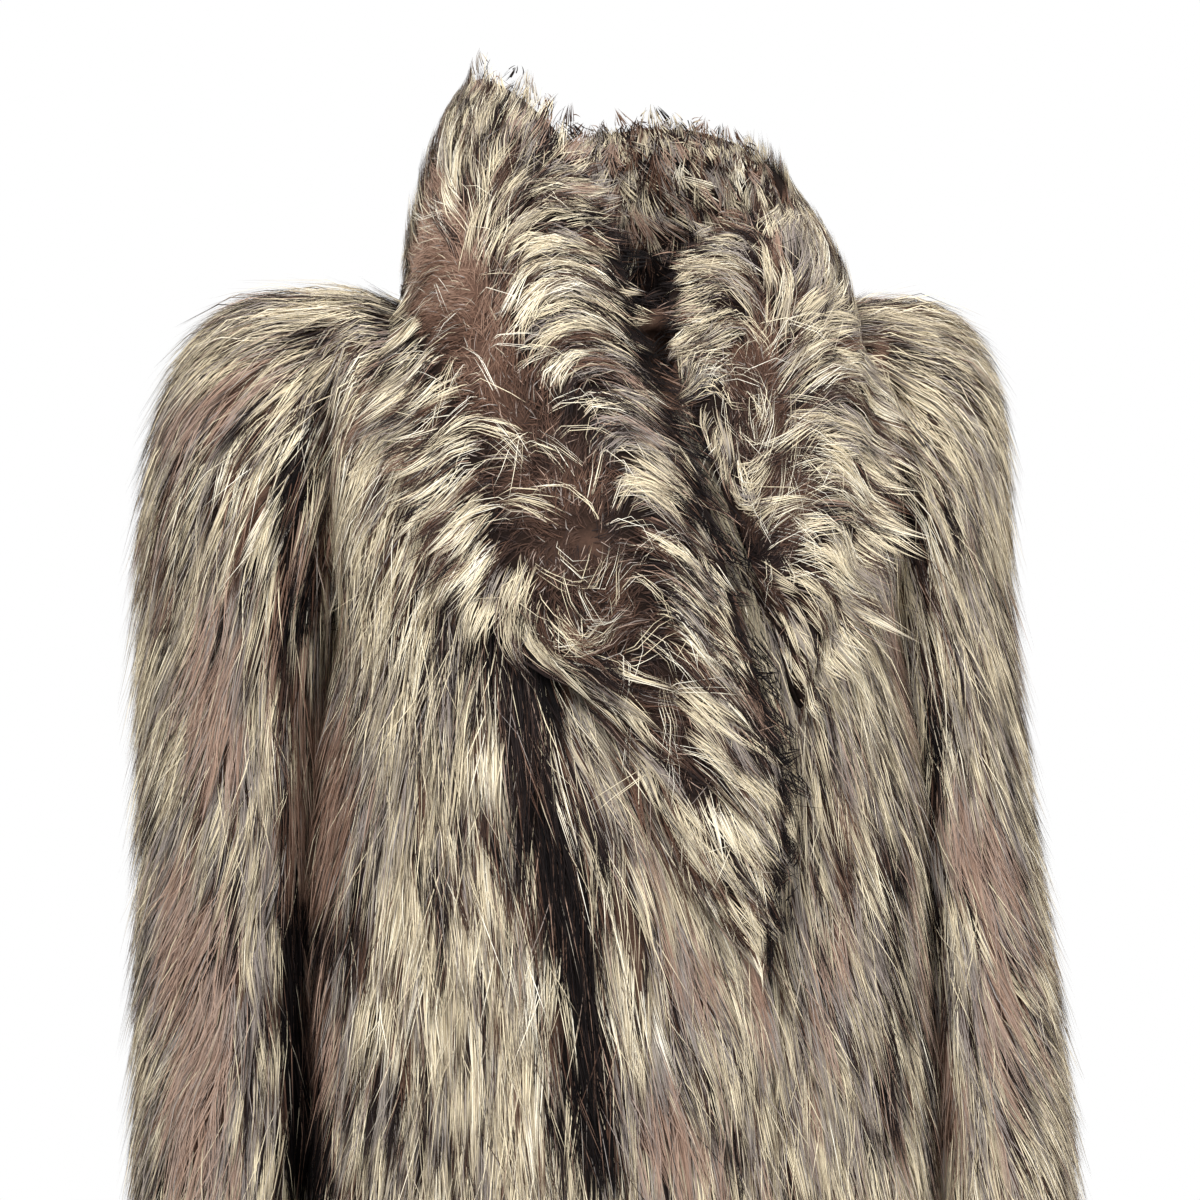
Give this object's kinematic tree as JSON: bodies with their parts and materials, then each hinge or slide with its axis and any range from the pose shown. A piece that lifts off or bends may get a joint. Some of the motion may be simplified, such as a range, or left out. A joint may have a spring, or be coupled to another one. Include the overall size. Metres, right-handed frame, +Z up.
{
  "type": "fur coat",
  "caption": "Long-haired fur coat with a standing shawl collar, wide shoulders, set-in sleeves and a lapped front, worn shape, hollow.",
  "frame": {"origin": "middle of the neck opening at the height of the shoulder seams, where the wearer's shoulders hold the coat", "axes": "+Z up, the coat's front faces -Y, the wearer's left is +X"},
  "size_m": [0.6889, 0.4467, 1.117],
  "materials": {
    "front_right_fur": "long banded guard hair over dense underfur",
    "front_left_fur": "long banded guard hair over dense underfur",
    "back_fur": "long banded guard hair over dense underfur",
    "sleeve_right_fur": "long banded guard hair over dense underfur",
    "sleeve_left_fur": "long banded guard hair over dense underfur",
    "collar_right_fur": "long banded guard hair over dense underfur",
    "collar_left_fur": "long banded guard hair over dense underfur"
  },
  "bodies": {
    "root": {"front_right": "front_right_fur", "front_left": "front_left_fur", "back": "back_fur", "sleeve_right": "sleeve_right_fur", "sleeve_left": "sleeve_left_fur", "collar_right": "collar_right_fur", "collar_left": "collar_left_fur"}
  },
  "joints": []
}
